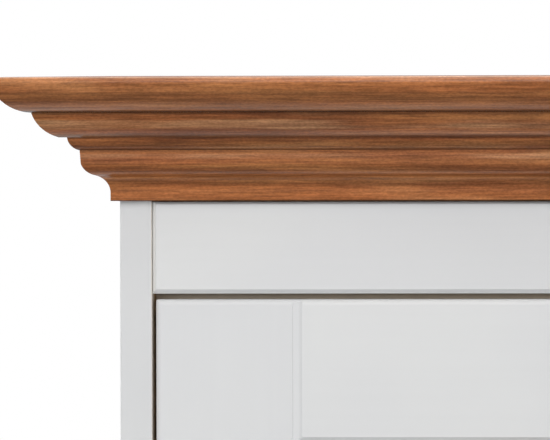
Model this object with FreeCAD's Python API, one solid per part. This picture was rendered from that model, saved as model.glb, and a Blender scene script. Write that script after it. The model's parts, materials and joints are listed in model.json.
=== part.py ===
import FreeCAD, Part
import os

# Chest of drawers, in millimetres: +Z up, drawer fronts facing -Y.
# The origin is on the floor under the middle of the whole chest. The pieces are modelled with y = 0 on the
# plane of the side panels' front edges and the drawer fronts, and are moved back at the end.

V = FreeCAD.Vector

# Carcass
carcass_width = 880.0
carcass_depth = 420.0
side_thickness = 18.5
board = 19.0  # bottom, sub-top, frieze and rails
side_arris = 1.0
side_inner_arris = 0.4
back_thickness = 5.0
back_rebate = 9.0
rail_depth = 45.0

# Plinth and feet
plinth_height = 90.0
plinth_thickness = 18.0
plinth_lip = 6.0  # flat top of the moulded edge
plinth_drop = 13.0  # height of the moulded edge
plinth_bulge = 3.0
plinth_corner_radius = 2.0
foot_length_front = 125.0
foot_length_side = 105.0
arch_shoulder = 14.0  # straight part of a foot's inner edge
arch_radius = 28.0
block_size = 52.0
glide_radius = 14.0
glide_height = 4.0
glide_edge = 1.2

# Cornice. A reach is how far a line stands out from the carcass; a bulge is how far an arc leaves its chord.
top_thickness = 20.7
top_arris = 4.5
nose_reach = 64.95
nose_face = 8.9
nose_width = 18.5
nose_bulge = 2.75
quirk = 0.6  # shadow step under the top board
upper_height = 21.9
upper_round_width = 14.3
upper_round_height = 14.4
upper_round_bulge = 2.6
upper_fillet = 4.2
upper_bead_width = 6.2
upper_bead_bulge = 1.5
lower_height = 29.6
lower_step = 0.3
lower_face_lean = 0.6
lower_face_height = 8.0
ogee_round_width = 7.1
ogee_round_height = 6.5
ogee_round_bulge = 1.2
ogee_hollow_width = 8.3
ogee_hollow_height = 10.0
ogee_hollow_bulge = 2.25
cornice_inset = 45.0  # how far the mouldings lie over the carcass

# Frieze
frieze_height = 53.3
frieze_set_back = 0.1
frieze_side_gap = 0.2
frieze_top_gap = 0.6
frieze_top_chamfer = 1.4
chamfer = 2.5

# Framed drawer fronts
drawer_count = 3
front_height = 249.7
front_thickness = 20.0
front_gap = 3.3
front_side_gap = 2.2
front_stop_gap = 0.3
front_edge_radius = 3.5
front_corner_radius = 1.5
stile_width = 85.5
rail_width = 82.4
joint_groove_width = 5.8  # shallow groove on the stile, beside the ends of the rails
joint_groove_depth = 0.5
joint_groove_steep = 0.6  # width of its outer slope
joint_groove_fall = 1.7  # width of the part that falls deeper towards the rails
joint_groove_heel = 0.9  # depth beside the rails
panel_recess = 7.0
panel_groove_width = 8.0
panel_groove_depth = 10.0
panel_play = 0.1
panel_end_play = 1.0
panel_back_play = 0.3

# Drawer boxes
box_board = 14.0
box_lift = 22.0  # above the lower edge of the front
box_drop = 28.0  # below the upper edge of the front
box_side_gap = 4.0
box_back_gap = 10.0
box_arris = 1.5
tail_count = 4
pin_width = 20.0  # between the wide ends of two dovetails
tail_flare = 2.0
bottom_thickness = 5.0
bottom_lift = 12.0
bottom_tongue = 6.0
bottom_play = 0.1

# Runners
runner_height = 14.0
groove_depth = 7.0
runner_tip_gap = 0.5
runner_top_gap = 0.3
runner_under_gap = 0.6
groove_start = 26.0  # behind the drawer front
runner_end_gap = 6.0
runner_arris = 1.0

# Knobs
knob_inset = 210.0  # from the end of the drawer front
knob_base_radius = 10.0
knob_base_height = 3.0
knob_base_step = 1.0
knob_waist_radius = 7.5
knob_neck_radius = 10.5
knob_neck_height = 12.0
knob_head_radius = 18.0
knob_rim_height = 15.5
knob_rim = 5.0  # thickness of the rounded rim
knob_height = 27.0

# Dowels and screws
dowel_radius = 4.0
dowel_in_side = 12.0
dowel_in_end = 18.0
dowel_inset = 60.0
frieze_dowel_inset = 15.0
screw_radius = 1.75
screw_head_radius = 3.5
screw_head_height = 2.6
screw_slot = 0.9
screw_slot_depth = 1.3
slot_share = 0.55  # half-length of a cross slot, as a share of the head's radius
short_screw = 18.0
back_screw_inset = 60.0
back_screw_pitch = 170.0
runner_screw_inset = 30.0
cornice_screw = 34.0
cornice_screw_inset = 32.0
cornice_screw_end = 120.0
cornice_screw_pitch = 260.0
front_screw = 28.0
front_screw_inset = 60.0
knob_screw_radius = 2.0
knob_screw_head_radius = 4.2
knob_screw_head_height = 2.4
knob_screw_grip = 11.0  # length inside the knob

# Planes and levels that follow from the sizes above
half_width = carcass_width / 2
half_inside = half_width - side_thickness
carcass_bottom = plinth_height - board
front_pitch = front_height + front_gap
lowest_front = plinth_height + front_gap
frieze_bottom = lowest_front + drawer_count * front_pitch
frieze_top = frieze_bottom + frieze_height
frieze_back = frieze_set_back + board
cornice_bottom = frieze_top + frieze_top_gap
lower_top = cornice_bottom + lower_height
upper_top = lower_top + upper_height
overall_height = upper_top + top_thickness
back_face = carcass_depth - back_thickness
plinth_back_face = carcass_depth - plinth_thickness
rail_start = front_thickness + front_stop_gap
front_half = half_inside - front_side_gap
opening_half = front_half - stile_width
panel_face = panel_recess + panel_play
panel_back = panel_recess + panel_groove_width
box_height = front_height - box_lift - box_drop
box_half = half_inside - box_side_gap
box_inside = box_half - box_board
box_start = front_thickness
box_front_inner = box_start + box_board
box_end = back_face - box_back_gap
box_back_inner = box_end - box_board
groove_height = runner_height + runner_top_gap + runner_under_gap
groove_lift = (box_height - groove_height) / 2
runner_face = box_half - groove_depth + runner_tip_gap
runner_start = box_start + groove_start + front_stop_gap
runner_end = back_face - runner_end_gap
footprint_shift = (nose_reach - carcass_depth) / 2
far = 2 * carcass_width  # long enough to run past every piece


def box(x0, x1, y0, y1, z0, z1):
    return Part.makeBox(x1 - x0, y1 - y0, z1 - z0, V(x0, y0, z0))


def mirrored(shape):
    return shape.mirror(V(0, 0, 0), V(1, 0, 0))


def fused(first, *others):
    return first.fuse(list(others)).removeSplitter()


def prism(points, along):
    return Part.Face(Part.makePolygon(points + points[:1])).extrude(along)


def edges_on(shape, places):
    """The edges that lie wholly on every plane of one of the places, such as {"x": 0, "y": 5}."""
    found = []
    for edge in shape.Edges:
        b = edge.BoundBox
        spans = {"x": (b.XMin, b.XMax), "y": (b.YMin, b.YMax), "z": (b.ZMin, b.ZMax)}
        for place in places:
            if all(abs(end - value) < 1e-4 for axis, value in place.items() for end in spans[axis]):
                found.append(edge)
    return found


def rounded(shape, radius, *places):
    return shape.makeFillet(radius, edges_on(shape, places))


def chamfered(shape, size, *places):
    return shape.makeChamfer(size, edges_on(shape, places))


def profile_face(start, moves):
    """A face in the XZ plane, outlined clockwise by moves from the start and shut by a straight line.

    A move (du, dv) is a straight line. (du, dv, bulge) is an arc, round where bulge is positive and
    hollow where it is negative.
    """
    u, v = start
    edges = []
    for du, dv, *bulge in moves:
        a, b = V(u, 0, v), V(u + du, 0, v + dv)
        if bulge:
            outwards = V(-dv, 0, du).normalize()
            middle = (a + b) * 0.5 + outwards * bulge[0]
            edges.append(Part.Arc(a, middle, b).toShape())
        else:
            edges.append(Part.LineSegment(a, b).toShape())
        u, v = u + du, v + dv
    edges.append(Part.LineSegment(V(u, 0, v), V(start[0], 0, start[1])).toShape())
    return Part.Face(Part.Wire(edges))


def along_front(face):
    """Runs a profile along the front, with its reach measured forwards from the carcass."""
    face = face.copy()
    face.rotate(V(0, 0, 0), V(0, 0, 1), -90)
    face.translate(V(-far, 0, 0))
    return face.extrude(V(2 * far, 0, 0))


def along_left(face):
    """Runs a profile along the left side, with its reach measured outwards from the carcass."""
    face = face.copy()
    face.rotate(V(0, 0, 0), V(0, 0, 1), 180)
    face.translate(V(-half_width, -far, 0))
    return face.extrude(V(0, 2 * far, 0))


def front_plan(reach, inset):
    """The space in front of the two mitres, from the reach back to the inset."""
    corners = [V(-half_width - reach, -reach, 0), V(half_width + reach, -reach, 0),
               V(half_width - inset, inset, 0), V(-half_width + inset, inset, 0)]
    return prism(corners, V(0, 0, far))


def left_plan(reach, inset):
    """The space to the left of the left mitre, back to the rear of the carcass."""
    outer, inner = -half_width - reach, -half_width + inset
    corners = [V(outer, -reach, 0), V(inner, inset, 0),
               V(inner, carcass_depth, 0), V(outer, carcass_depth, 0)]
    return prism(corners, V(0, 0, far))


def mitred(face, reach, inset):
    """The front, left and right lengths of one moulding."""
    left = along_left(face).common(left_plan(reach, inset))
    return {
        "front": along_front(face).common(front_plan(reach, inset)),
        "left": left,
        "right": mirrored(left),
    }


def top_board():
    """The moulded edge runs round the left, front and right sides, and the back is square."""
    def section(back):
        return profile_face((-back, overall_height), [
            (back + nose_reach - top_arris, 0),
            (top_arris, -top_arris, top_arris * (1 - 0.5**0.5)),
            (0, top_arris - nose_face),
            (-nose_width, nose_face - top_thickness, nose_bulge),
            (nose_width - nose_reach - back, 0),
        ])

    left = along_left(section(half_width))
    return fused(left, mirrored(left)).common(along_front(section(carcass_depth)))


def upper_cornice():
    """A quarter-round over a small bead."""
    reach = nose_reach - nose_width - quirk
    foot = reach - upper_round_width - upper_fillet - upper_bead_width
    section = profile_face((-cornice_inset, upper_top), [
        (cornice_inset + reach, 0),
        (-upper_round_width, -upper_round_height, upper_round_bulge),
        (-upper_fillet, 0),
        (-upper_bead_width, upper_round_height - upper_height, upper_bead_bulge),
        (-foot - cornice_inset, 0),
    ])
    return mitred(section, reach, cornice_inset), foot


def lower_cornice(upper_foot):
    """An ogee under a nearly upright face, set back a little from the foot of the upper moulding."""
    reach = upper_foot - lower_step
    foot = reach - lower_face_lean - ogee_round_width - ogee_hollow_width
    section = profile_face((-cornice_inset, lower_top), [
        (cornice_inset + reach, 0),
        (-lower_face_lean, -lower_face_height),
        (-ogee_round_width, -ogee_round_height, ogee_round_bulge),
        (-ogee_hollow_width, -ogee_hollow_height, -ogee_hollow_bulge),
        (0, lower_face_height + ogee_round_height + ogee_hollow_height - lower_height),
        (-foot - cornice_inset, 0),
    ])
    return mitred(section, reach, cornice_inset)


def cornice_back():
    half = half_width - cornice_inset
    return box(-half, half, carcass_depth - board, carcass_depth, cornice_bottom, upper_top)


def arch(half_span):
    """The cut between two feet, centred on u = 0."""
    quarter = arch_radius * (1 - 0.5**0.5)
    return profile_face((-half_span, 0), [
        (0, glide_height + arch_shoulder),
        (arch_radius, arch_radius, quarter),
        (2 * (half_span - arch_radius), 0),
        (arch_radius, -arch_radius, quarter),
        (0, -glide_height - arch_shoulder),
    ])


def plinth():
    section = profile_face((0, plinth_height), [
        (plinth_lip, 0),
        (plinth_thickness - plinth_lip, -plinth_drop, plinth_bulge),
        (0, plinth_drop + glide_height - plinth_height),
        (-plinth_thickness, 0),
    ])
    pieces = mitred(section, plinth_thickness, 0)
    corner = {"x": -half_width - plinth_thickness, "y": -plinth_thickness}
    corner_piece = rounded(fused(pieces["front"], pieces["left"]), plinth_corner_radius, corner)
    plan = left_plan(plinth_thickness, 0)
    left = corner_piece.common(plan)
    front = corner_piece.cut(plan).common(box(-far, 0, -far, far, 0, far))
    front = fused(front, mirrored(front))

    front_arch = arch(half_width + plinth_thickness - foot_length_front)
    front_arch.translate(V(0, -far, 0))
    side_arch = arch((carcass_depth + plinth_thickness) / 2 - foot_length_side)
    side_arch.rotate(V(0, 0, 0), V(0, 0, 1), 90)
    side_arch.translate(V(-far, plinth_back_face / 2, 0))
    left = left.cut(side_arch.extrude(V(far, 0, 0)))
    back = box(-half_width, half_width, plinth_back_face, carcass_depth, glide_height, carcass_bottom)
    return {
        "plinth_front": front.cut(front_arch.extrude(V(0, 2 * far, 0))),
        "plinth_left": left,
        "plinth_right": mirrored(left),
        "plinth_back": back,
    }


def foot_places():
    """The middle of each corner block."""
    inset = block_size / 2
    return [(side * (half_width - inset), y) for side in (-1, 1) for y in (inset, plinth_back_face - inset)]


def corner_block(x, y):
    inset = block_size / 2
    return box(x - inset, x + inset, y - inset, y + inset, glide_height, carcass_bottom)


def foot_glide(x, y):
    disc = Part.makeCylinder(glide_radius, glide_height, V(x, y, 0))
    return chamfered(disc, glide_edge, {"z": 0})


def front_level(k):
    """The lower edge of the front of drawer k, counted from the top."""
    return lowest_front + (drawer_count - 1 - k) * front_pitch


def side_panel():
    shape = box(-half_width, -half_inside, 0, carcass_depth, carcass_bottom, cornice_bottom)
    shape = rounded(shape, side_arris, {"x": -half_width, "y": 0})
    shape = rounded(shape, side_inner_arris, {"x": -half_inside, "y": 0})
    return shape.cut(box(-half_inside - back_rebate, 0, back_face, far, 0, far))


def bottom_panel():
    return box(-half_inside, half_inside, 0, back_face, carcass_bottom, plinth_height)


def sub_top_panel():
    return box(-half_inside, half_inside, frieze_back, back_face, cornice_bottom - board, cornice_bottom)


def frieze_board():
    half = half_inside - frieze_side_gap
    y = frieze_set_back
    shape = box(-half, half, y, frieze_back, frieze_bottom, frieze_top)
    shape = chamfered(shape, chamfer, {"y": y, "z": frieze_bottom}, {"y": y, "x": -half}, {"y": y, "x": half})
    return chamfered(shape, frieze_top_chamfer, {"y": y, "z": frieze_top})


def rail_middle(k):
    """Mid-height of the rail behind the gap over drawer k."""
    return front_level(k) + front_height + front_gap / 2


def front_rail(k):
    z = rail_middle(k)
    return box(-half_inside, half_inside, rail_start, rail_start + rail_depth, z - board / 2, z + board / 2)


def back_panel():
    half = half_inside + back_rebate
    return box(-half, half, back_face, carcass_depth, carcass_bottom, cornice_bottom)


def runner_middle(k):
    return front_level(k) + box_lift + groove_lift + runner_under_gap + runner_height / 2


def left_runner(k):
    low = runner_middle(k) - runner_height / 2
    high = low + runner_height
    batten = box(-half_inside, -runner_face, runner_start, runner_end, low, high)
    return rounded(batten, runner_arris, {"x": -runner_face, "z": low}, {"x": -runner_face, "z": high})


def placed(shape, point, direction):
    """Moves a shape that runs along +Z from the origin, so that it runs along direction from point."""
    shape = shape.copy()
    shape.Placement = FreeCAD.Placement(point, FreeCAD.Rotation(V(0, 0, 1), direction))
    return shape


def cross_slot(head_radius, top):
    reach = head_radius * slot_share
    half = screw_slot / 2
    floor = top + screw_slot_depth
    return [box(-reach, reach, -half, half, top, floor), box(-half, half, -reach, reach, top, floor)]


def countersunk(point, direction, length):
    """A screw and the hole that it fills. The face of its head is at the point."""
    head = Part.makeCone(screw_head_radius, screw_radius, screw_head_height)
    shank = Part.makeCylinder(screw_radius, length - screw_head_height, V(0, 0, screw_head_height))
    hole = fused(head, shank)
    screw = hole.cut(cross_slot(screw_head_radius, 0))
    return placed(screw, point, direction), placed(hole, point, direction)


def pan_head(point, direction, length):
    """A screw and the hole that it fills. Its head stands on the surface at the point."""
    top = -knob_screw_head_height
    head = Part.makeCylinder(knob_screw_head_radius, knob_screw_head_height, V(0, 0, top))
    head = rounded(head, knob_screw_head_height / 2, {"z": top})
    hole = Part.makeCylinder(knob_screw_radius, length)
    screw = fused(head, hole).cut(cross_slot(knob_screw_head_radius, top))
    return placed(screw, point, direction), placed(hole, point, direction)


def spread(low, high, pitch):
    """Evenly spaced places from low to high, about a pitch apart."""
    steps = max(1, round((high - low) / pitch))
    return [low + (high - low) * k / steps for k in range(steps + 1)]


def dowels():
    """Dowels from both sides into the ends of the bottom, sub-top, frieze and rails."""
    depths = (dowel_inset, back_face / 2, back_face - dowel_inset)
    levels = (carcass_bottom + board / 2, cornice_bottom - board / 2)
    places = [(y, z, 0) for z in levels for y in depths]
    places += [(rail_start + rail_depth / 2, rail_middle(k), 0) for k in range(drawer_count)]
    frieze_levels = (frieze_bottom + frieze_dowel_inset, frieze_top - frieze_dowel_inset)
    places += [(frieze_set_back + board / 2, z, frieze_side_gap) for z in frieze_levels]
    left = []
    for y, z, gap in places:
        peg = Part.makeCylinder(dowel_radius, dowel_in_side + gap + dowel_in_end)
        left.append(placed(peg, V(-half_inside - dowel_in_side, y, z), V(1, 0, 0)))
    return left + [mirrored(peg) for peg in left]


def back_screws():
    """Screws through the back into the edges of the bottom, sub-top and sides."""
    across = spread(-half_inside + back_screw_inset, half_inside - back_screw_inset, back_screw_pitch)
    up = spread(carcass_bottom + back_screw_inset, cornice_bottom - back_screw_inset, back_screw_pitch)
    levels = (carcass_bottom + board / 2, cornice_bottom - board / 2)
    points = [(x, z) for x in across for z in levels]
    points += [(side * (half_inside + back_rebate / 2), z) for side in (-1, 1) for z in up]
    return [countersunk(V(x, carcass_depth, z), V(0, -1, 0), short_screw) for x, z in points]


def runner_screws():
    first, last = runner_start + runner_screw_inset, runner_end - runner_screw_inset
    depths = (first, (first + last) / 2, last)
    points = [(y, runner_middle(k)) for k in range(drawer_count) for y in depths]
    return [countersunk(V(side * runner_face, y, z), V(side, 0, 0), short_screw)
            for side in (-1, 1) for y, z in points]


def cornice_screws():
    """Screws up through the sub-top into the lower moulding."""
    half = half_width - cornice_screw_inset
    along = spread(-half_width + cornice_screw_end, half_width - cornice_screw_end, cornice_screw_pitch)
    back = spread(cornice_screw_end, carcass_depth - cornice_screw_end, cornice_screw_pitch)
    points = [(x, cornice_screw_inset) for x in along] + [(side * half, y) for side in (-1, 1) for y in back]
    return [countersunk(V(x, y, cornice_bottom - board), V(0, 0, 1), cornice_screw) for x, y in points]


def drilled(shape, holes):
    near = [hole for hole in holes if hole.BoundBox.intersect(shape.BoundBox)]
    return shape.cut(near) if near else shape


def carcass():
    """Every fixed piece, with its dowel and screw holes."""
    side = side_panel()
    runners = [left_runner(k) for k in range(drawer_count)]
    pieces = {
        "left_side_panel": side,
        "right_side_panel": mirrored(side),
        "bottom_panel": bottom_panel(),
        "sub_top_panel": sub_top_panel(),
        "frieze_board": frieze_board(),
        "front_rails": Part.makeCompound([front_rail(k) for k in range(drawer_count)]),
        "drawer_runners": Part.makeCompound(runners + [mirrored(runner) for runner in runners]),
        "back_panel": back_panel(),
        "cornice_back": cornice_back(),
        "top_board": top_board(),
        "plinth_corner_blocks": Part.makeCompound([corner_block(x, y) for x, y in foot_places()]),
        "foot_glides": Part.makeCompound([foot_glide(x, y) for x, y in foot_places()]),
    }
    upper, upper_foot = upper_cornice()
    lower = lower_cornice(upper_foot)
    for end in upper:
        pieces["upper_cornice_" + end] = upper[end]
        pieces["lower_cornice_" + end] = lower[end]
    pieces.update(plinth())

    pegs = dowels()
    screws = back_screws() + runner_screws() + cornice_screws()
    holes = pegs + [hole for _, hole in screws]
    pieces = {name: drilled(shape, holes) for name, shape in pieces.items()}
    pieces["carcass_dowels"] = Part.makeCompound(pegs)
    pieces["carcass_screws"] = Part.makeCompound([screw for screw, _ in screws])
    return pieces


def opening_chamfer(low, high):
    """What is cut off the frame's arrises round the panel: a tapered block, so its corners are mitred."""
    outer, inner = opening_half + 2 * chamfer, opening_half
    across = prism([V(-outer, -chamfer, 0), V(outer, -chamfer, 0),
                    V(inner, chamfer, 0), V(-inner, chamfer, 0)], V(0, 0, far))
    upright = prism([V(-far, -chamfer, low - 2 * chamfer), V(-far, -chamfer, high + 2 * chamfer),
                     V(-far, chamfer, high), V(-far, chamfer, low)], V(2 * far, 0, 0))
    return across.common(upright)


def joint_groove(z0):
    """The groove on the left stile: a shallow flat that falls off to the shoulders of the rails."""
    end = -opening_half
    start = end - joint_groove_width
    outline = [(start, 0), (start + joint_groove_steep, joint_groove_depth),
               (end - joint_groove_fall, joint_groove_depth), (end, joint_groove_heel), (end, 0)]
    return prism([V(x, y, z0) for x, y in outline], V(0, 0, front_height))


def frame_members(z0):
    """Stiles and rails of a framed front: one rounded blank, chamfered, grooved and sawn apart."""
    z1 = z0 + front_height
    low, high = z0 + rail_width, z1 - rail_width
    blank = box(-front_half, front_half, 0, front_thickness, z0, z1)
    corners = [{"x": x, "z": z} for x in (-front_half, front_half) for z in (z0, z1)]
    eased = rounded(blank, front_corner_radius, *corners)
    blank = rounded(blank, front_edge_radius, {"y": 0, "x": -front_half}, {"y": 0, "x": front_half},
                    {"y": 0, "z": z0}, {"y": 0, "z": z1})
    groove = joint_groove(z0)
    blank = blank.common(eased).cut([opening_chamfer(low, high), groove, mirrored(groove)])

    reach = opening_half + panel_groove_depth
    slot = box(-reach, reach, panel_recess, panel_back, z0, z1)
    stile = blank.common(box(-front_half, -opening_half, 0, front_thickness, z0, z1)).cut(slot)
    pocket = box(-reach, reach, panel_recess, panel_back,
                 low - panel_groove_depth, high + panel_groove_depth)
    members = {"left_stile": stile, "right_stile": mirrored(stile)}
    for name, bottom, top in (("bottom_rail", z0, low), ("top_rail", high, z1)):
        rail = blank.common(box(-opening_half, opening_half, 0, front_thickness, bottom, top))
        tenons = box(-reach, reach, panel_recess, panel_back, bottom, top)
        members[name] = fused(rail, tenons).cut(pocket)
    return members


def panel(z0):
    """A flat panel in the frame's groove, flush with its back."""
    low, high = z0 + rail_width, z0 + front_height - rail_width
    reach = panel_groove_depth - panel_end_play
    half = opening_half + reach
    tongue = box(-half, half, panel_face, panel_back - panel_play, low - reach, high + reach)
    half = opening_half - panel_back_play
    field = box(-half, half, panel_face, front_thickness, low + panel_back_play, high - panel_back_play)
    return fused(tongue, field)


def left_tails(shoulder, end, z0):
    """The dovetails at one end of the left box side, from their shoulder line to the end of the board."""
    pitch = box_height / tail_count
    wide = (pitch - pin_width) / 2
    neck = wide - tail_flare
    tails = []
    for k in range(tail_count):
        z = z0 + (k + 0.5) * pitch
        outline = [(shoulder, z - neck), (end, z - wide), (end, z + wide), (shoulder, z + neck)]
        tails.append(prism([V(-box_half, y, height) for y, height in outline], V(box_board, 0, 0)))
    return tails


def pinned_board(shoulder, end, z0):
    """The box's front or back, whose ends are the pins between the sides' dovetails."""
    tails = left_tails(shoulder, end, z0)
    blank = box(-box_half, box_half, min(shoulder, end), max(shoulder, end), z0, z0 + box_height)
    return blank.cut(tails + [mirrored(tail) for tail in tails])


def drawer_box(z0):
    """The dovetailed box behind the front, with its bottom let into all four boards."""
    z1 = z0 + box_height
    side = box(-box_half, -box_inside, box_front_inner, box_back_inner, z0, z1)
    side = fused(side, *left_tails(box_front_inner, box_start, z0), *left_tails(box_back_inner, box_end, z0))
    side = rounded(side, box_arris, {"x": -box_inside, "z": z1}, {"x": -box_half, "z": z1})

    half = box_inside + bottom_tongue
    y0, y1 = box_front_inner - bottom_tongue, box_back_inner + bottom_tongue
    low = z0 + bottom_lift
    high = low + bottom_thickness
    play = bottom_play
    slot = box(-half - play, half + play, y0 - play, y1 + play, low - play, high + play)
    groove_low = z0 + groove_lift
    groove_high = groove_low + groove_height
    groove = box(-far, groove_depth - box_half, box_start + groove_start, far, groove_low, groove_high)
    side = side.cut([slot, groove])
    return {
        "box_left_side": side,
        "box_right_side": mirrored(side),
        "box_front": pinned_board(box_front_inner, box_start, z0).cut(slot),
        "box_back": pinned_board(box_back_inner, box_end, z0).cut([slot, groove, mirrored(groove)]),
        "box_bottom": box(-half, half, y0, y1, low, high),
    }


def knob(x, z):
    """A turned knob with a waisted neck and a domed head, standing on the panel."""
    rim = knob_head_radius - knob_rim / 2
    rim_top = knob_rim_height + knob_rim
    dome = knob_height - rim_top
    dome_radius = (rim**2 + dome**2) / (2 * dome)
    dome_middle = knob_height - dome_radius + (dome_radius**2 - rim**2 / 4) ** 0.5
    foot = knob_base_radius - knob_base_step
    outline = [
        [(0, 0), (knob_base_radius, 0)],
        [(knob_base_radius, 0), (knob_base_radius, knob_base_height)],
        [(knob_base_radius, knob_base_height), (foot, knob_base_height)],
        [(foot, knob_base_height), (knob_waist_radius, (knob_base_height + knob_neck_height) / 2),
         (knob_neck_radius, knob_neck_height)],
        [(knob_neck_radius, knob_neck_height), (rim, knob_rim_height)],
        [(rim, knob_rim_height), (knob_head_radius, knob_rim_height + knob_rim / 2), (rim, rim_top)],
        [(rim, rim_top), (rim / 2, dome_middle), (0, knob_height)],
        [(0, knob_height), (0, 0)],
    ]
    edges = []
    for stretch in outline:
        curve = Part.Arc if len(stretch) == 3 else Part.LineSegment
        edges.append(curve(*[V(radius, 0, height) for radius, height in stretch]).toShape())
    solid = Part.Face(Part.Wire(edges)).revolve(V(0, 0, 0), V(0, 0, 1), 360)
    return placed(solid, V(x, panel_face, z), V(0, -1, 0))


def drawer(k):
    """Every piece of drawer k, with its screw holes."""
    z0 = front_level(k)
    middle = z0 + front_height / 2
    pieces = frame_members(z0)
    pieces["panel"] = panel(z0)
    pieces.update(drawer_box(z0 + box_lift))
    knob_places = [side * (front_half - knob_inset) for side in (-1, 1)]
    knobs = [knob(x, middle) for x in knob_places]

    knob_screw = box_front_inner - panel_face + knob_screw_grip
    screws = [pan_head(V(x, box_front_inner, middle), V(0, -1, 0), knob_screw) for x in knob_places]
    stile_middle = front_half - stile_width / 2
    for x in (-stile_middle, stile_middle):
        for z in (z0 + front_screw_inset, z0 + front_height - front_screw_inset):
            screws.append(countersunk(V(x, box_front_inner, z), V(0, -1, 0), front_screw))
    holes = [hole for _, hole in screws]
    pieces = {name: drilled(shape, holes) for name, shape in pieces.items()}
    pieces["knobs"] = Part.makeCompound([drilled(shape, holes) for shape in knobs])
    pieces["screws"] = Part.makeCompound([screw for screw, _ in screws])
    return pieces


def main():
    os.makedirs("parts", exist_ok=True)
    nodes = carcass()
    for k in range(drawer_count):
        for name, shape in drawer(k).items():
            nodes["drawer_%d_%s" % (k + 1, name)] = shape
    for name, shape in nodes.items():
        shape.translate(V(0, footprint_shift, 0))
        if not shape.isValid():
            raise ValueError(name + " is not a valid shape")
        shape.exportStep("parts/" + name + ".step")
    print(len(nodes), "nodes, overall height", overall_height)


main()
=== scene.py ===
import json
import math
import random

import bpy
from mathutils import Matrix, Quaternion, Vector


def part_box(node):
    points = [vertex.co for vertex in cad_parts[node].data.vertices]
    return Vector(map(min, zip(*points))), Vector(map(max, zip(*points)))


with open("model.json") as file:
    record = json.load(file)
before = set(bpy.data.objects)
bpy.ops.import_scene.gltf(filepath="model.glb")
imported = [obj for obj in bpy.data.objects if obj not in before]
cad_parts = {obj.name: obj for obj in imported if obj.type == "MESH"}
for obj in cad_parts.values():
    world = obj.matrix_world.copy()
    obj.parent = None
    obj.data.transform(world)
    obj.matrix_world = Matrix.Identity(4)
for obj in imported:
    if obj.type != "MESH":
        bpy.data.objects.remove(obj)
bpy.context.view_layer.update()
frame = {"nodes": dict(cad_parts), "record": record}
nodes = frame["nodes"]

# Lengths are in metres: +X to the right, +Y to the back, +Z up. A material's object coordinates are the
# coordinates of the chest at rest, so a place on the chest can be named in them.
MM = 0.001

side_low, side_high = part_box("left_side_panel")
upper_low, upper_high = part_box("upper_cornice_front")
cornice_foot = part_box("lower_cornice_front")[0][2]
cornice_neck = upper_low[2]
cornice_top = upper_high[2]
board_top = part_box("top_board")[1][2]
front_plane = side_low[1]
inner_face = -side_high[0]

# The photograph's frame in pixels, the height of one pixel on the plane of the drawer fronts, and where the
# side panel's outer edge and the cornice's lower edge are, in pixels.
PHOTO_WIDTH = 550
PHOTO_HEIGHT = 440
PIXEL = 0.58 * MM
SIDE_EDGE_PIXEL = 119.7
CORNICE_EDGE_PIXEL = 200.7

# The photograph is the corner of a picture of the whole chest, so its camera stands level with the cornice
# and a little to the right of this corner. It leans a little, as the long lines rise to the right.
CAMERA_DISTANCE = 8.0
CAMERA_YAW = math.radians(6.5)
CAMERA_ROLL = math.radians(0.14)
EYE_HEIGHT = 0.985
SENSOR = 36.0
CLIP_START = 0.05
CLIP_END = 50.0

# The soft boxes all around the chest: their size, their distance from the point that they aim at, and this
# point's height.
BOX_SIZE = 1.6
BOX_DISTANCE = 3.2
AIM_HEIGHT = 0.5

# The studio's even light from below and from above, and the sines of the heights between which it changes.
STUDIO_LIGHT = (0.08, 0.13)
STUDIO_HORIZON = (-0.2, 0.3)

# A gloss sees the white backdrop only towards the back of the studio: it fades in between these directions.
BACKDROP_START = (-0.25, 0.35)

# The floor: its size, the distances between which it fades into the backdrop, and its glow near the chest
# and far from it, which only the camera and a gloss see.
FLOOR_RADIUS = 9.0
FLOOR_SEGMENTS = 64
FLOOR_FADE = (1.2, 4.5)
FLOOR_GLOW = (0.22, 0.93)

# The random start of each piece's figure lies within this distance on each axis.
OFFSET_REACH = 5

# Growth rings: how far apart they are, how far the pith lies from the piece, and how far it may lie aside.
STAINED_RINGS = (3.4 * MM, 0.7)
PINE_RINGS = (3.0 * MM, 0.35)
BEECH_RINGS = (2.4 * MM, 0.3)
PITH_ASIDE = 0.12
RING_DRIFT = 30 * MM
RING_RIPPLE = 4 * MM

# The cornice's steps under the top board, over the bead and under it, with painted shade on the lip above
# each level and in the corner below it: their level, the height of the dark lip above it, how dark that lip
# is, and how dark the corner below it is.
FILLET_DROP = 14.4 * MM
bead_top = cornice_top - FILLET_DROP
STEPS = (
    {"level": cornice_top, "lip_height": 1.6 * MM, "lip_dark": 0.95, "corner_dark": 0.45},
    {"level": bead_top, "lip_height": 2.6 * MM, "lip_dark": 0.55, "corner_dark": 0.4},
    {"level": cornice_neck, "lip_height": 1.6 * MM, "lip_dark": 0.55, "corner_dark": 0.12},
)
LIP_FOOT = 0.3 * MM
CORNER_HEIGHT = 2.2 * MM

# The painted shade under the top board's overhang, as far down as it stays and as it fades out.
UNDER_BOARD = (2.8 * MM, 5 * MM)
UNDER_BOARD_SHADE = 0.92

# The painted shade on the lower part of the bead: where it starts and where it is full, below the bead's
# top.
BEAD_TURN = (1.2 * MM, 3.2 * MM)
BEAD_DARK = 0.29

# The painted highlight, a light band on the lower moulding's face: where it starts, is full, fades and
# ends, below its top.
BAND_START = (0.9 * MM, 2.4 * MM)
BAND_END = (4 * MM, 6 * MM)
BAND_LIGHT = 0.19

# The light foot of the lower moulding, its height and the end of its soft edge, and its dark lower rim, a
# painted shade along the gap over the frieze.
FOOT_HEIGHT = 5 * MM
FOOT_END = 11 * MM
FOOT_LIGHT = 0.16
ABOVE_FOOT_SHADE = 0.96
RIM = (0.2 * MM, 0.8 * MM)
RIM_SHADE = 0.2

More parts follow.
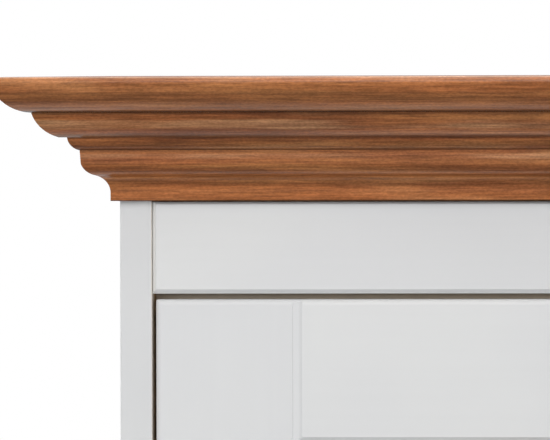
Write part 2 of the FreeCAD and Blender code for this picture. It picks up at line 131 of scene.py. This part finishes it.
# A painted sheen, a paler colour where the satin coat catches the light, on the belly of the upper moulding
# and on the face of the lower one: how far below the moulding's top this is, half of its width, and its
# soft edge. It varies between two shares.
BELLY = (7.0 * MM, 1.9 * MM, 1.3 * MM)
FACE = (3.7 * MM, 0.9 * MM, 1.2 * MM)
SHEEN_SHARES = (0.04, 0.42)

# The heights of the top board's edge down to its round underside, and of its lighter upper part, and the
# painted shade there, lighter above and darker downwards.
NOSE_FACE = 8.9 * MM
NOSE_LIGHT = 3 * MM
NOSE_SHADES = (1.03, 0.88)

# The upward part of the normal, from where to where a face counts as an underside for the painted shade
# and for the clear coat, as the lowest part of an underside, in which the coat ran and a painted sheen
# lightens the colour, and as a level top.
UNDERSIDE = (-0.1, -0.65)
UNDERSIDE_PAINTED_SHADE = 0.74
COAT_EDGE = (-0.25, 0.1)
COAT_RUN_AND_SHEEN = (-0.66, -0.83)
LEVEL_TOP = (0.985, 0.998)

# The clear coat on undersides and on faces, what is added where it ran, the painted sheen added to the
# colour there, and what is rubbed off a level top.
THIN_COAT = 0.15
FULL_COAT = 0.8
RUN_COAT = 0.6
RUN_PAINTED_SHEEN = 0.24
RUBBED_COAT = 0.62

# Stained boards that are lighter or darker than the rest.
STAIN_TONE = {"top_board": 0.935, "upper_cornice": 1.24, "lower_cornice": 1.08}

# The side panels' lacquer: how far back it is full and where it ends on the inner faces, how deep those
# faces' own finish goes into the front edge, and how light it is beside the fronts.
OVERSPRAY = (1.8 * MM, 18 * MM)
INNER_SKIN = (0.25 * MM, 0.1 * MM)
SIDE_TONE = 0.96


def srgb(red, green, blue):
    """The linear colour of a colour given in the 0 to 255 steps of a picture."""
    steps = (c / 255 for c in (red, green, blue))
    return tuple(((c + 0.055) / 1.055) ** 2.4 if c > 0.04 else c / 12.92 for c in steps)


# The streaks of each wood and the mottle of each other finish, as stops of a colour ramp.
STAIN_STREAKS = [(0.30, srgb(128, 73, 40)), (0.45, srgb(151, 91, 51)), (0.56, srgb(166, 105, 60)),
                 (0.72, srgb(188, 126, 75))]
PINE_STREAKS = [(0.3, srgb(214, 172, 118)), (0.5, srgb(228, 192, 140)), (0.7, srgb(238, 207, 160))]
BEECH_STREAKS = [(0.3, srgb(196, 150, 104)), (0.7, srgb(218, 176, 130))]
PLYWOOD_WAVES = [(0.3, srgb(204, 168, 120)), (0.7, srgb(226, 196, 152))]
LACQUER_CLOUDS = [(0.3, srgb(216, 217, 218)), (0.5, srgb(219, 220, 221)), (0.7, srgb(222, 223, 223))]
ZINC_CAST = [(0.35, srgb(176, 184, 192)), (0.65, srgb(206, 204, 192))]
PLASTIC_MOTTLE = [(0.3, srgb(34, 34, 36)), (0.7, srgb(46, 46, 47))]
FLOOR_SEEN = [(0.3, srgb(243, 243, 243)), (0.7, srgb(246, 246, 246))]
FLOOR_LIT = [(0.3, srgb(186, 186, 186)), (0.7, srgb(190, 190, 190))]

# What lies over the streaks of the stained wood, with the colours of a painted sheen and of a painted
# highlight on the top board's arris.
STAIN_RINGS = srgb(108, 56, 28)
STAIN_DARK = srgb(100, 54, 32)
STAIN_PALE = srgb(188, 135, 88)
STAIN_BOARD = srgb(156, 96, 55)
STAIN_FOOT = srgb(158, 98, 57)
PAINTED_SHEEN_COLOR = srgb(190, 145, 108)
STAIN_PORES = srgb(84, 46, 26)
PAINTED_ARRIS_HIGHLIGHT = srgb(204, 168, 142)

# What lies over the streaks and the mottle of the other finishes.
PINE_LATE = srgb(190, 134, 78)
WHITEWASH = srgb(232, 218, 202)
BEECH_LATE = srgb(176, 122, 80)
BEECH_FLECKS = srgb(132, 84, 50)
PLYWOOD_LINES = srgb(186, 138, 88)
# The inner faces' overspray, painted paler than the lacquer: a painted light in the shaded gap beside the
# drawers.
PALE_SPRAY_AND_PAINTED_LIGHT = srgb(246, 238, 228)
FLOOR_FAR = srgb(60, 60, 60)


class Tree:
    """A short way to write the nodes of a material or world: a call adds a node and returns its output."""

    def __init__(self, owner):
        owner.use_nodes = True
        self.owner = owner
        self.links = owner.node_tree.links
        self.nodes = owner.node_tree.nodes
        self.nodes.clear()

    def feed(self, socket, value):
        if isinstance(value, bpy.types.NodeSocket):
            self.links.new(value, socket)
        elif isinstance(value, tuple) and len(value) == 3 and socket.type == "RGBA":
            socket.default_value = (*value, 1.0)
        else:
            socket.default_value = value

    def node(self, kind, inputs=None, **settings):
        node = self.nodes.new(kind)
        for key, value in settings.items():
            setattr(node, key, value)
        for key, value in (inputs or {}).items():
            self.feed(node.inputs[key], value)
        return node

    def place(self, offset=(0.0, 0.0, 0.0)):
        """The place on the chest at rest, moved by an offset."""
        coordinates = self.node("ShaderNodeTexCoord").outputs["Object"]
        return self.node("ShaderNodeVectorMath", {0: coordinates, 1: offset}, operation="ADD").outputs[0]

    def math(self, operation, a, b=0.0, **settings):
        return self.node("ShaderNodeMath", {0: a, 1: b}, operation=operation, **settings).outputs[0]

    def product(self, first, *others):
        for other in others:
            first = self.math("MULTIPLY", first, other)
        return first

    def split(self, vector):
        return self.node("ShaderNodeSeparateXYZ", {0: vector}).outputs[:3]

    def join(self, x, y, z):
        return self.node("ShaderNodeCombineXYZ", {0: x, 1: y, 2: z}).outputs[0]

    def noise(self, vector, scale=1.0, detail=2.0, roughness=0.5):
        inputs = {"Vector": vector, "Scale": scale, "Detail": detail, "Roughness": roughness}
        return self.node("ShaderNodeTexNoise", inputs).outputs["Fac"]

    def remap(self, value, low, high, to_low=0.0, to_high=1.0):
        """A smooth step: to_low at low, to_high at high, and level beyond them."""
        inputs = {"Value": value, "From Min": low, "From Max": high, "To Min": to_low, "To Max": to_high}
        return self.node("ShaderNodeMapRange", inputs, interpolation_type="SMOOTHSTEP").outputs[0]

    def spread(self, texture, to_low, to_high):
        """A noise, whose values crowd around a half, spread over the range given."""
        return self.remap(texture, 0.3, 0.7, to_low, to_high)

    def ramp(self, value, stops):
        node = self.node("ShaderNodeValToRGB", {0: value})
        elements = node.color_ramp.elements
        while len(elements) < len(stops):
            elements.new(0.5)
        for element, (place, color) in zip(elements, stops):
            element.position = place
            element.color = (*color, 1.0)
        return node.outputs[0]

    def mix(self, factor, a, b, blend="MIX"):
        inputs = {0: factor, 6: a, 7: b}
        return self.node("ShaderNodeMix", inputs, data_type="RGBA", blend_type=blend).outputs[2]

    def tint(self, color, shade):
        return self.mix(1.0, color, self.join(shade, shade, shade), "MULTIPLY")

    def bump(self, height, distance, normal=None):
        inputs = {"Height": height, "Distance": distance, "Strength": 1.0}
        if normal is not None:
            inputs["Normal"] = normal
        return self.node("ShaderNodeBump", inputs).outputs[0]

    def finish(self, inputs):
        """Ends a material with its shader, and returns the material."""
        shader = self.node("ShaderNodeBsdfPrincipled", inputs)
        self.node("ShaderNodeOutputMaterial", {"Surface": shader.outputs[0]})
        return self.owner


def material_tree(name):
    return Tree(bpy.data.materials.new(name))


def random_offset(draw):
    return tuple(draw.uniform(-OFFSET_REACH, OFFSET_REACH) for _ in range(3))


def along(tree, place, grain):
    """Turns a place so that its first coordinate runs along the grain."""
    x, y, z = tree.split(place)
    order = {"X": (x, y, z), "Y": (y, x, z), "Z": (z, x, y)}
    return order[grain]


def stretched(tree, coordinates, long_scale, cross_scale):
    """Scales coordinates along and across the grain, so that a noise over them is drawn out along it."""
    scales = (long_scale, cross_scale, cross_scale)
    return tree.join(*(tree.math("MULTIPLY", c, s) for c, s in zip(coordinates, scales)))


def wood_figure(tree, seed, grain, rings):
    """The figure of solid wood: growth rings around a distant pith, fibre, streaks and pores, each 0 to 1.

    The shifted coordinates run along and across the grain, for further textures over the same wood.
    """
    ring, pith_away = rings
    draw = random.Random(seed)
    offset = random_offset(draw)
    pith_aside = draw.uniform(-1, 1) * PITH_ASIDE
    across, deep = along(tree, tree.place(), grain)[1:]
    shifted = along(tree, tree.place(offset), grain)

    waver = tree.noise(stretched(tree, shifted, 3.5, 9.0), detail=3.0)
    flutter = tree.noise(stretched(tree, shifted, 14.0, 60.0))
    drift = tree.math("MULTIPLY", tree.math("SUBTRACT", waver, 0.5), RING_DRIFT)
    ripple = tree.math("MULTIPLY", tree.math("SUBTRACT", flutter, 0.5), RING_RIPPLE)
    across = tree.math("ADD", tree.math("SUBTRACT", across, pith_aside), drift)
    deep = tree.math("ADD", tree.math("SUBTRACT", deep, pith_away), ripple)
    square = tree.math("ADD", tree.product(across, across), tree.product(deep, deep))
    radius = tree.math("SQRT", square)
    uneven = tree.noise(tree.join(radius, 0.0, 0.0), 160.0)
    turns = tree.math("ADD", tree.math("DIVIDE", radius, ring), uneven)
    phase = tree.math("FRACT", turns)
    return {
        "late": tree.product(tree.remap(phase, 0.15, 0.85), tree.remap(phase, 1.0, 0.9)),
        "fibre": tree.noise(stretched(tree, shifted, 9.0, 420.0), detail=4.0, roughness=0.6),
        "streak": tree.noise(stretched(tree, shifted, 5.0, 130.0), detail=3.0, roughness=0.55),
        "pores": tree.noise(stretched(tree, shifted, 40.0, 1400.0), detail=1.0),
        "shifted": shifted,
    }


def step_shade(tree, height, level, lip_height, lip_dark, corner_dark):
    """The painted shade at a step of the cornice: dark on the lip above its level and in the corner below
    it.
    """
    above = tree.math("SUBTRACT", height, level)
    lip = tree.remap(above, lip_height, LIP_FOOT, 0.0, lip_dark)
    lip = tree.product(lip, tree.math("GREATER_THAN", above, 0.0))
    corner = tree.remap(above, -CORNER_HEIGHT, 0.0, 0.0, corner_dark)
    corner = tree.product(corner, tree.math("LESS_THAN", above, 0.0))
    return tree.math("SUBTRACT", tree.math("SUBTRACT", 1.0, lip), corner)


def foot_zone(tree, height):
    """1 on the upright foot of the lower moulding and 0 over it."""
    return tree.remap(height, cornice_foot + FOOT_END, cornice_foot + FOOT_HEIGHT)


def band_zone(tree, height, top, below, half, fade):
    """1 in a level band whose middle lies below the top, and 0 beyond its soft edges."""
    away = tree.math("ABSOLUTE", tree.math("SUBTRACT", height, top - below))
    return tree.remap(away, half + fade, half)


def cornice_shade(tree, height):
    """Painted shade under the board and on the bead and a painted highlight under it; lighter on the foot.

    The rim of the foot is dark again, a painted shade.
    """
    # Painted shade on the lower part of the bead.
    turn_start, turn_end = BEAD_TURN
    bead = tree.remap(height, bead_top - turn_start, bead_top - turn_end, 0.0, BEAD_DARK)
    bead = tree.product(bead, tree.math("GREATER_THAN", height, cornice_neck))
    # A painted highlight: a light band on the lower moulding's face.
    start, full = BAND_START
    fading, end = BAND_END
    band = tree.remap(height, cornice_neck - start, cornice_neck - full, 0.0, BAND_LIGHT)
    band = tree.product(band, tree.remap(height, cornice_neck - end, cornice_neck - fading))
    middle = tree.math("ADD", tree.math("SUBTRACT", 1.0, bead), band)
    # Painted shade under the top board.
    dark_end, light_start = UNDER_BOARD
    under = tree.remap(height, cornice_top - light_start, cornice_top - dark_end, 1.0, UNDER_BOARD_SHADE)
    foot = tree.math("MULTIPLY", foot_zone(tree, height), FOOT_LIGHT)
    foot = tree.math("ADD", foot, ABOVE_FOOT_SHADE)
    # Painted shade on the foot's lower rim, along the gap over the frieze.
    rim_low, rim_high = RIM
    rim = tree.remap(height, cornice_foot + rim_low, cornice_foot + rim_high, RIM_SHADE, 1.0)
    return tree.product(middle, under, foot, rim)


def arris_painted_highlight(tree, up):
    """A painted highlight on the top board's upper arris: how much lighter it is there."""
    arris = tree.product(tree.remap(up, 0.1, 0.6), tree.remap(up, 1.0, 0.97))
    return tree.product(arris, tree.remap(up, 0.65, 0.9, 0.34, 0.62))


def nose_shade(tree, up, height):
    """The painted shade of the top board's edge, which darkens downwards as far as its round underside."""
    fall = tree.remap(height, board_top - NOSE_LIGHT, board_top - NOSE_FACE, *NOSE_SHADES)
    return tree.math("MAXIMUM", fall, tree.remap(up, -0.1, -0.4))


def stain_tone_and_painted_light(tree, name, up, height):
    """How light the stain is: painted shade, darker on undersides and at the cornice's steps, with a
    painted sheen low on undersides and a painted highlight on the top board's arris.
    """
    tone = max([value for part, value in STAIN_TONE.items() if part in name], default=1.0)
    # Painted shade on undersides, and a painted sheen on the lowest part of an underside.
    shade = tree.remap(up, *UNDERSIDE, tone, UNDERSIDE_PAINTED_SHADE * tone)
    shade = tree.math("ADD", shade, tree.remap(up, *COAT_RUN_AND_SHEEN, 0.0, RUN_PAINTED_SHEEN))
    if "cornice" in name or "top_board" in name:
        # Painted shade at the cornice's steps.
        for step in STEPS:
            shade = tree.product(shade, step_shade(tree, height, **step))
    if "cornice" in name:
        shade = tree.product(shade, cornice_shade(tree, height))
    if "top_board" in name:
        shade = tree.math("ADD", shade, arris_painted_highlight(tree, up))
        shade = tree.product(shade, nose_shade(tree, up, height))
    return shade


def coat_weight(tree, up):
    """The clear coat: full on faces, thin on a level top, and thin on undersides but where it ran."""
    faces = tree.remap(up, *COAT_EDGE, THIN_COAT, FULL_COAT)
    run = tree.remap(up, *COAT_RUN_AND_SHEEN, 0.0, RUN_COAT)
    rubbed = tree.remap(up, *LEVEL_TOP, 0.0, RUBBED_COAT)
    return tree.math("SUBTRACT", tree.math("ADD", faces, run), rubbed)


def stain_color(tree, name, figure, height):
    """The stain's colour, which takes unevenly along the grain, with a painted sheen on the mouldings."""
    patch = tree.noise(stretched(tree, figure["shifted"], 9.0, 30.0))
    cloud = tree.noise(stretched(tree, figure["shifted"], 9.0, 90.0))
    body = tree.ramp(figure["streak"], STAIN_STREAKS)
    body = tree.mix(tree.math("MULTIPLY", figure["late"], 0.25), body, STAIN_RINGS)
    body = tree.mix(tree.math("MULTIPLY", tree.remap(patch, 0.48, 0.70), 0.45), body, STAIN_DARK)
    pale = 0.55 if "upper_cornice" in name else 0.42
    body = tree.mix(tree.math("MULTIPLY", tree.remap(cloud, 0.50, 0.68), pale), body, STAIN_PALE)
    if "top_board" in name:
        body = tree.mix(0.35, body, STAIN_BOARD)
    if "lower_cornice" in name:
        body = tree.mix(tree.math("MULTIPLY", foot_zone(tree, height), 0.5), body, STAIN_FOOT)
    # A painted sheen: a paler colour on the belly of the upper moulding and on the face of the lower one.
    if "cornice" in name:
        belly = band_zone(tree, height, cornice_top, *BELLY)
        face = band_zone(tree, height, cornice_neck, *FACE)
        uneven = tree.remap(cloud, 0.38, 0.62, *SHEEN_SHARES)
        body = tree.mix(tree.product(tree.math("ADD", belly, face), uneven), body, PAINTED_SHEEN_COLOR)
    return body


def stained_wood(name, seed, grain):
    """Solid wood in a honey stain under a satin clear coat, with painted shade, sheen and highlights."""
    tree = material_tree(name)
    figure = wood_figure(tree, seed, grain, STAINED_RINGS)
    shifted = figure["shifted"]
    height = tree.split(tree.place())[2]
    up = tree.split(tree.node("ShaderNodeNewGeometry").outputs["Normal"])[2]
    body = stain_color(tree, name, figure, height)
    pore = tree.remap(figure["pores"], 0.62, 0.72)
    body = tree.mix(tree.math("MULTIPLY", pore, 0.3), body, STAIN_PORES)
    # A painted highlight: a pale colour on the top board's upper arris.
    if "top_board" in name:
        arris_highlight = tree.product(tree.remap(up, 0.75, 0.93, 0.0, 0.55), tree.remap(up, 1.0, 0.985))
        body = tree.mix(arris_highlight, body, PAINTED_ARRIS_HIGHLIGHT)
    shade = stain_tone_and_painted_light(tree, name, up, height)
    mottle = tree.noise(stretched(tree, shifted, 50.0, 90.0))
    grit = tree.noise(stretched(tree, shifted, 45.0, 900.0), roughness=0.6)
    fleck = tree.noise(stretched(tree, shifted, 480.0, 1100.0), detail=1.0)
    for texture, depth in ((figure["fibre"], 0.17), (grit, 0.20), (fleck, 0.13), (mottle, 0.05)):
        shade = tree.product(shade, tree.spread(texture, 1 - depth, 1 + depth))
    relief = tree.math("SUBTRACT", tree.math("MULTIPLY", figure["fibre"], 0.6), pore)
    return tree.finish({
        "Base Color": tree.tint(body, shade),
        "Roughness": tree.spread(figure["streak"], 0.56, 0.44),
        "Normal": tree.bump(relief, 0.03 * MM),
        "Specular IOR Level": 0.05,
        "Coat Weight": coat_weight(tree, up),
        "Coat Roughness": 0.16,
    })


def pine_color(tree, figure):
    """Pale pine with honey-coloured late wood."""
    body = tree.ramp(figure["streak"], PINE_STREAKS)
    body = tree.mix(tree.math("MULTIPLY", figure["late"], 0.5), body, PINE_LATE)
    return tree.tint(body, tree.spread(figure["fibre"], 0.92, 1.05))


def pine(name, seed, grain, whitewashed=False):
    """Untreated planed pine, matt, or pine under one thin coat of pale primer."""
    tree = material_tree(name)
    figure = wood_figure(tree, seed, grain, PINE_RINGS)
    body = pine_color(tree, figure)
    if whitewashed:
        body = tree.mix(tree.spread(figure["streak"], 0.86, 0.74), body, WHITEWASH)
    return tree.finish({
        "Base Color": body,
        "Roughness": tree.remap(figure["late"], 0.0, 1.0, 0.68, 0.52),
        "Normal": tree.bump(figure["fibre"], 0.06 * MM),
    })


def whitewashed_pine(name, seed, grain):
    """The finish of the pieces that show only in the gaps over and under the drawers."""
    return pine(name, seed, grain, whitewashed=True)


def beech(name, seed, grain):
    """Pale beech with short dark flecks."""
    tree = material_tree(name)
    figure = wood_figure(tree, seed, grain, BEECH_RINGS)
    body = tree.ramp(figure["streak"], BEECH_STREAKS)
    body = tree.mix(tree.math("MULTIPLY", figure["late"], 0.22), body, BEECH_LATE)
    fleck = tree.noise(stretched(tree, figure["shifted"], 240.0, 1500.0), detail=0.0)
    body = tree.mix(tree.math("MULTIPLY", tree.remap(fleck, 0.66, 0.74), 0.6), body, BEECH_FLECKS)
    return tree.finish({
        "Base Color": body,
        "Roughness": tree.spread(figure["streak"], 0.6, 0.48),
        "Normal": tree.bump(figure["fibre"], 0.04 * MM),
    })


def plywood(name, seed, grain):
    """Rotary-cut birch plywood: a wide, soft figure on its faces."""
    tree = material_tree(name)
    shifted = along(tree, tree.place(random_offset(random.Random(seed))), grain)
    wave = tree.noise(stretched(tree, shifted, 2.2, 7.0), detail=3.0)
    level = tree.math("FRACT", tree.math("MULTIPLY", wave, 14.0))
    line = tree.product(tree.remap(level, 0.3, 0.9), tree.remap(level, 1.0, 0.92))
    fibre = tree.noise(stretched(tree, shifted, 12.0, 380.0), detail=3.0)
    body = tree.ramp(wave, PLYWOOD_WAVES)
    body = tree.mix(tree.math("MULTIPLY", line, 0.28), body, PLYWOOD_LINES)
    return tree.finish({
        "Base Color": tree.tint(body, tree.spread(fibre, 0.93, 1.05)),
        "Roughness": tree.spread(fibre, 0.7, 0.58),
        "Normal": tree.bump(fibre, 0.05 * MM),
    })


def lacquer_layers(tree, seed, grain, tone=1.0):
    """White satin lacquer over wood: colour, roughness and normal of the painted skin.

    The wood's grain and a fine orange peel just show in its gloss.
    """
    place = tree.place(random_offset(random.Random(seed)))
    cloud = tree.noise(place, 7.0)
    fibre = stretched(tree, along(tree, place, grain), 6.0, 190.0)
    telegraph = tree.noise(fibre, detail=3.0, roughness=0.6)
    peel = tree.noise(place, 620.0, detail=1.0)
    shade = tree.remap(telegraph, 0.25, 0.75, 0.995 * tone, 1.004 * tone)
    body = tree.tint(tree.ramp(cloud, LACQUER_CLOUDS), shade)
    normal = tree.bump(peel, 0.006 * MM, tree.bump(telegraph, 0.012 * MM))
    return body, tree.spread(cloud, 0.37, 0.345), normal


def white_lacquer(name, seed, grain):
    tree = material_tree(name)
    body, roughness, normal = lacquer_layers(tree, seed, grain)
    return tree.finish({"Base Color": body, "Roughness": roughness, "Normal": normal})


def side_lacquer(name, seed, grain):
    """The side panels: white all over but for the inner face, whose front edge's spray is painted paler, a
    painted light in the gap beside the drawers, and which is bare pine beyond that spray.
    """
    tree = material_tree(name)
    body, roughness, normal = lacquer_layers(tree, seed, grain, SIDE_TONE)
    figure = wood_figure(tree, seed + 1, grain, PINE_RINGS)
    x, y = tree.split(tree.place())[:2]
    from_inner = tree.math("SUBTRACT", tree.math("ABSOLUTE", x), inner_face)
    behind = tree.math("SUBTRACT", y, front_plane)
    inner = tree.remap(from_inner, *INNER_SKIN)
    bare = tree.product(inner, tree.remap(behind, *OVERSPRAY))
    # The inner face near the front: overspray painted paler than the lacquer, a painted light in the gap.
    body = tree.mix(inner, body, PALE_SPRAY_AND_PAINTED_LIGHT)
    body = tree.mix(bare, body, pine_color(tree, figure))
    roughness = tree.math("ADD", roughness, tree.math("MULTIPLY", bare, 0.25))
    return tree.finish({"Base Color": body, "Roughness": roughness, "Normal": normal})


def screw_steel(name, seed, grain):
    """Bright zinc plate with a faint bluish and yellowish cast and fine wear."""
    tree = material_tree(name)
    place = tree.place(random_offset(random.Random(seed)))
    wear = tree.noise(place, 2400.0)
    return tree.finish({
        "Base Color": tree.ramp(tree.noise(place, 260.0), ZINC_CAST),
        "Metallic": 1.0,
        "Roughness": tree.spread(wear, 0.24, 0.42),
        "Normal": tree.bump(wear, 0.01 * MM),
    })


def glide_plastic(name, seed, grain):
    """Dark moulded plastic with a fine spark-eroded texture."""
    tree = material_tree(name)
    place = tree.place()
    texture = tree.noise(place, 1500.0)
    return tree.finish({
        "Base Color": tree.ramp(tree.noise(place, 90.0), PLASTIC_MOTTLE),
        "Roughness": tree.spread(texture, 0.42, 0.6),
        "Normal": tree.bump(texture, 0.03 * MM),
    })


FINISHES = {"white_lacquer": white_lacquer, "stained_wood": stained_wood, "natural_pine": pine,
            "beech": beech, "plywood": plywood, "screw_steel": screw_steel, "glide_plastic": glide_plastic}

# Pieces whose finish differs from the rest of their slot.
OWN_FINISHES = {"left_side_panel": side_lacquer, "right_side_panel": side_lacquer,
                "front_rails": whitewashed_pine, "bottom_panel": whitewashed_pine}

# The axis of the grain in the groups of pieces whose common box is longest across it.
GROUP_GRAIN = {"knobs": "Y", "screws": "Y", "drawer_runners": "Y", "foot_glides": "Z",
               "plinth_corner_blocks": "Z"}


def grain_of(name):
    """The axis of a piece's grain, which runs along the longest side of its box but for some groups."""
    for ending, axis in GROUP_GRAIN.items():
        if name.endswith(ending):
            return axis
    low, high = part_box(name)
    sizes = [high[i] - low[i] for i in range(3)]
    return "XYZ"[sizes.index(max(sizes))]


def dress_nodes():
    """Gives each CAD node a material of its own, in its slot's finish, with its own grain and seed."""
    slots = {part["node"]: part["material_slot"] for part in frame["record"]["subparts"]}
    for seed, name in enumerate(sorted(nodes)):
        finish = OWN_FINISHES.get(name, FINISHES[slots[name]])
        material = finish(name + "_finish", seed, grain_of(name))
        for material_slot in nodes[name].material_slots:
            material_slot.material = material


def soft_light(name, azimuth, elevation, power, mirrored=True):
    """A square soft box, aimed at the middle of the chest. Azimuth 0 is in front, positive to the right.

    A box that would veil the colour of a flat face in its gloss isn't mirrored.
    """
    around, upwards = math.radians(azimuth), math.radians(elevation)
    direction = Vector((math.sin(around) * math.cos(upwards), -math.cos(around) * math.cos(upwards),
                        math.sin(upwards)))
    data = bpy.data.lights.new(name, "AREA")
    data.shape = "SQUARE"
    data.size = BOX_SIZE
    data.energy = power
    lamp = bpy.data.objects.new(name, data)
    lamp.location = Vector((0.0, 0.0, AIM_HEIGHT)) + direction * BOX_DISTANCE
    lamp.rotation_euler = direction.to_track_quat("Z", "Y").to_euler()
    lamp.visible_glossy = mirrored
    bpy.context.scene.collection.objects.link(lamp)


def lights():
    """A soft front light, a little stronger from the left, with fill from the sides, the back and above."""
    for side in (-1, 1):
        soft_light("side_box", side * 97, 20, 15, mirrored=False)
        soft_light("back_box", side * 130, 25, 24, mirrored=False)
    soft_light("key_box", -20, 20, 35, mirrored=False)
    soft_light("left_box", -45, 20, 12)
    soft_light("right_box", 50, 20, 25)
    soft_light("top_box", 0, 50, 20.5)
    soft_light("overhead_box", 0, 84, 18)


def surroundings():
    """An even pale studio for the light, and plain white where the camera or a gloss sees the backdrop."""
    world = bpy.data.worlds.new("studio")
    bpy.context.scene.world = world
    tree = Tree(world)
    direction = tree.node("ShaderNodeTexCoord").outputs["Generated"]
    backwards, upwards = tree.split(direction)[1:]
    light = tree.remap(upwards, *STUDIO_HORIZON, *STUDIO_LIGHT)
    ambient = tree.node("ShaderNodeBackground", {"Strength": light})
    white = tree.node("ShaderNodeBackground", {"Color": (1.0, 1.0, 1.0), "Strength": 1.0})
    rays = tree.node("ShaderNodeLightPath").outputs
    reflected = tree.math("ADD", rays["Is Glossy Ray"], rays["Is Transmission Ray"])
    towards_backdrop = tree.product(reflected, tree.remap(backwards, *BACKDROP_START))
    seen = tree.math("ADD", rays["Is Camera Ray"], towards_backdrop, use_clamp=True)
    mix = tree.node("ShaderNodeMixShader", {0: seen, 1: ambient.outputs[0], 2: white.outputs[0]})
    tree.node("ShaderNodeOutputWorld", {"Surface": mix.outputs[0]})


def pale_floor():
    """A round floor, pale and matt, faintly mottled, that fades into the white backdrop with distance."""
    turns = [math.tau * i / FLOOR_SEGMENTS for i in range(FLOOR_SEGMENTS)]
    ring = [(FLOOR_RADIUS * math.cos(turn), FLOOR_RADIUS * math.sin(turn), 0.0) for turn in turns]
    mesh = bpy.data.meshes.new("floor")
    mesh.from_pydata(ring, [], [list(range(FLOOR_SEGMENTS))])
    floor = bpy.data.objects.new("floor", mesh)
    bpy.context.scene.collection.objects.link(floor)
    tree = material_tree("floor_finish")
    mottle = tree.noise(tree.place(), 3.0, 3.0)
    reach = tree.node("ShaderNodeVectorMath", {0: tree.place()}, operation="LENGTH").outputs["Value"]
    far = tree.remap(reach, *FLOOR_FADE)
    rays = tree.node("ShaderNodeLightPath").outputs
    seen = tree.math("MAXIMUM", rays["Is Camera Ray"], rays["Is Glossy Ray"])
    seen_color = tree.mix(far, tree.ramp(mottle, FLOOR_SEEN), FLOOR_FAR)
    mesh.materials.append(tree.finish({
        "Base Color": tree.mix(seen, tree.ramp(mottle, FLOOR_LIT), seen_color),
        "Roughness": 0.9,
        "Specular IOR Level": 0.1,
        "Emission Color": (1.0, 1.0, 1.0),
        "Emission Strength": tree.product(seen, tree.remap(far, 0.0, 1.0, *FLOOR_GLOW)),
    }))


def photo_camera():
    """The photograph's view of the left end of the cornice, a little from the right."""
    x = side_low[0] + (PHOTO_WIDTH / 2 - SIDE_EDGE_PIXEL) * PIXEL / math.cos(CAMERA_YAW)
    z = cornice_foot - (PHOTO_HEIGHT / 2 - CORNICE_EDGE_PIXEL) * PIXEL
    target = Vector((x, front_plane, z))
    eye = Vector((x + CAMERA_DISTANCE * math.tan(CAMERA_YAW), front_plane - CAMERA_DISTANCE, EYE_HEIGHT))
    data = bpy.data.cameras.new("camera")
    data.sensor_width = SENSOR
    data.sensor_fit = "HORIZONTAL"
    data.lens = SENSOR * (eye - target).length / (PHOTO_WIDTH * PIXEL)
    data.clip_start = CLIP_START
    data.clip_end = CLIP_END
    camera = bpy.data.objects.new("camera", data)
    camera.location = eye
    level = (target - eye).to_track_quat("-Z", "Y")
    camera.rotation_euler = (level @ Quaternion((0, 0, 1), -CAMERA_ROLL)).to_euler()
    bpy.context.scene.collection.objects.link(camera)
    bpy.context.scene.camera = camera


photo_camera()
surroundings()
pale_floor()
lights()
dress_nodes()

bpy.context.scene.view_settings.view_transform = "Standard"
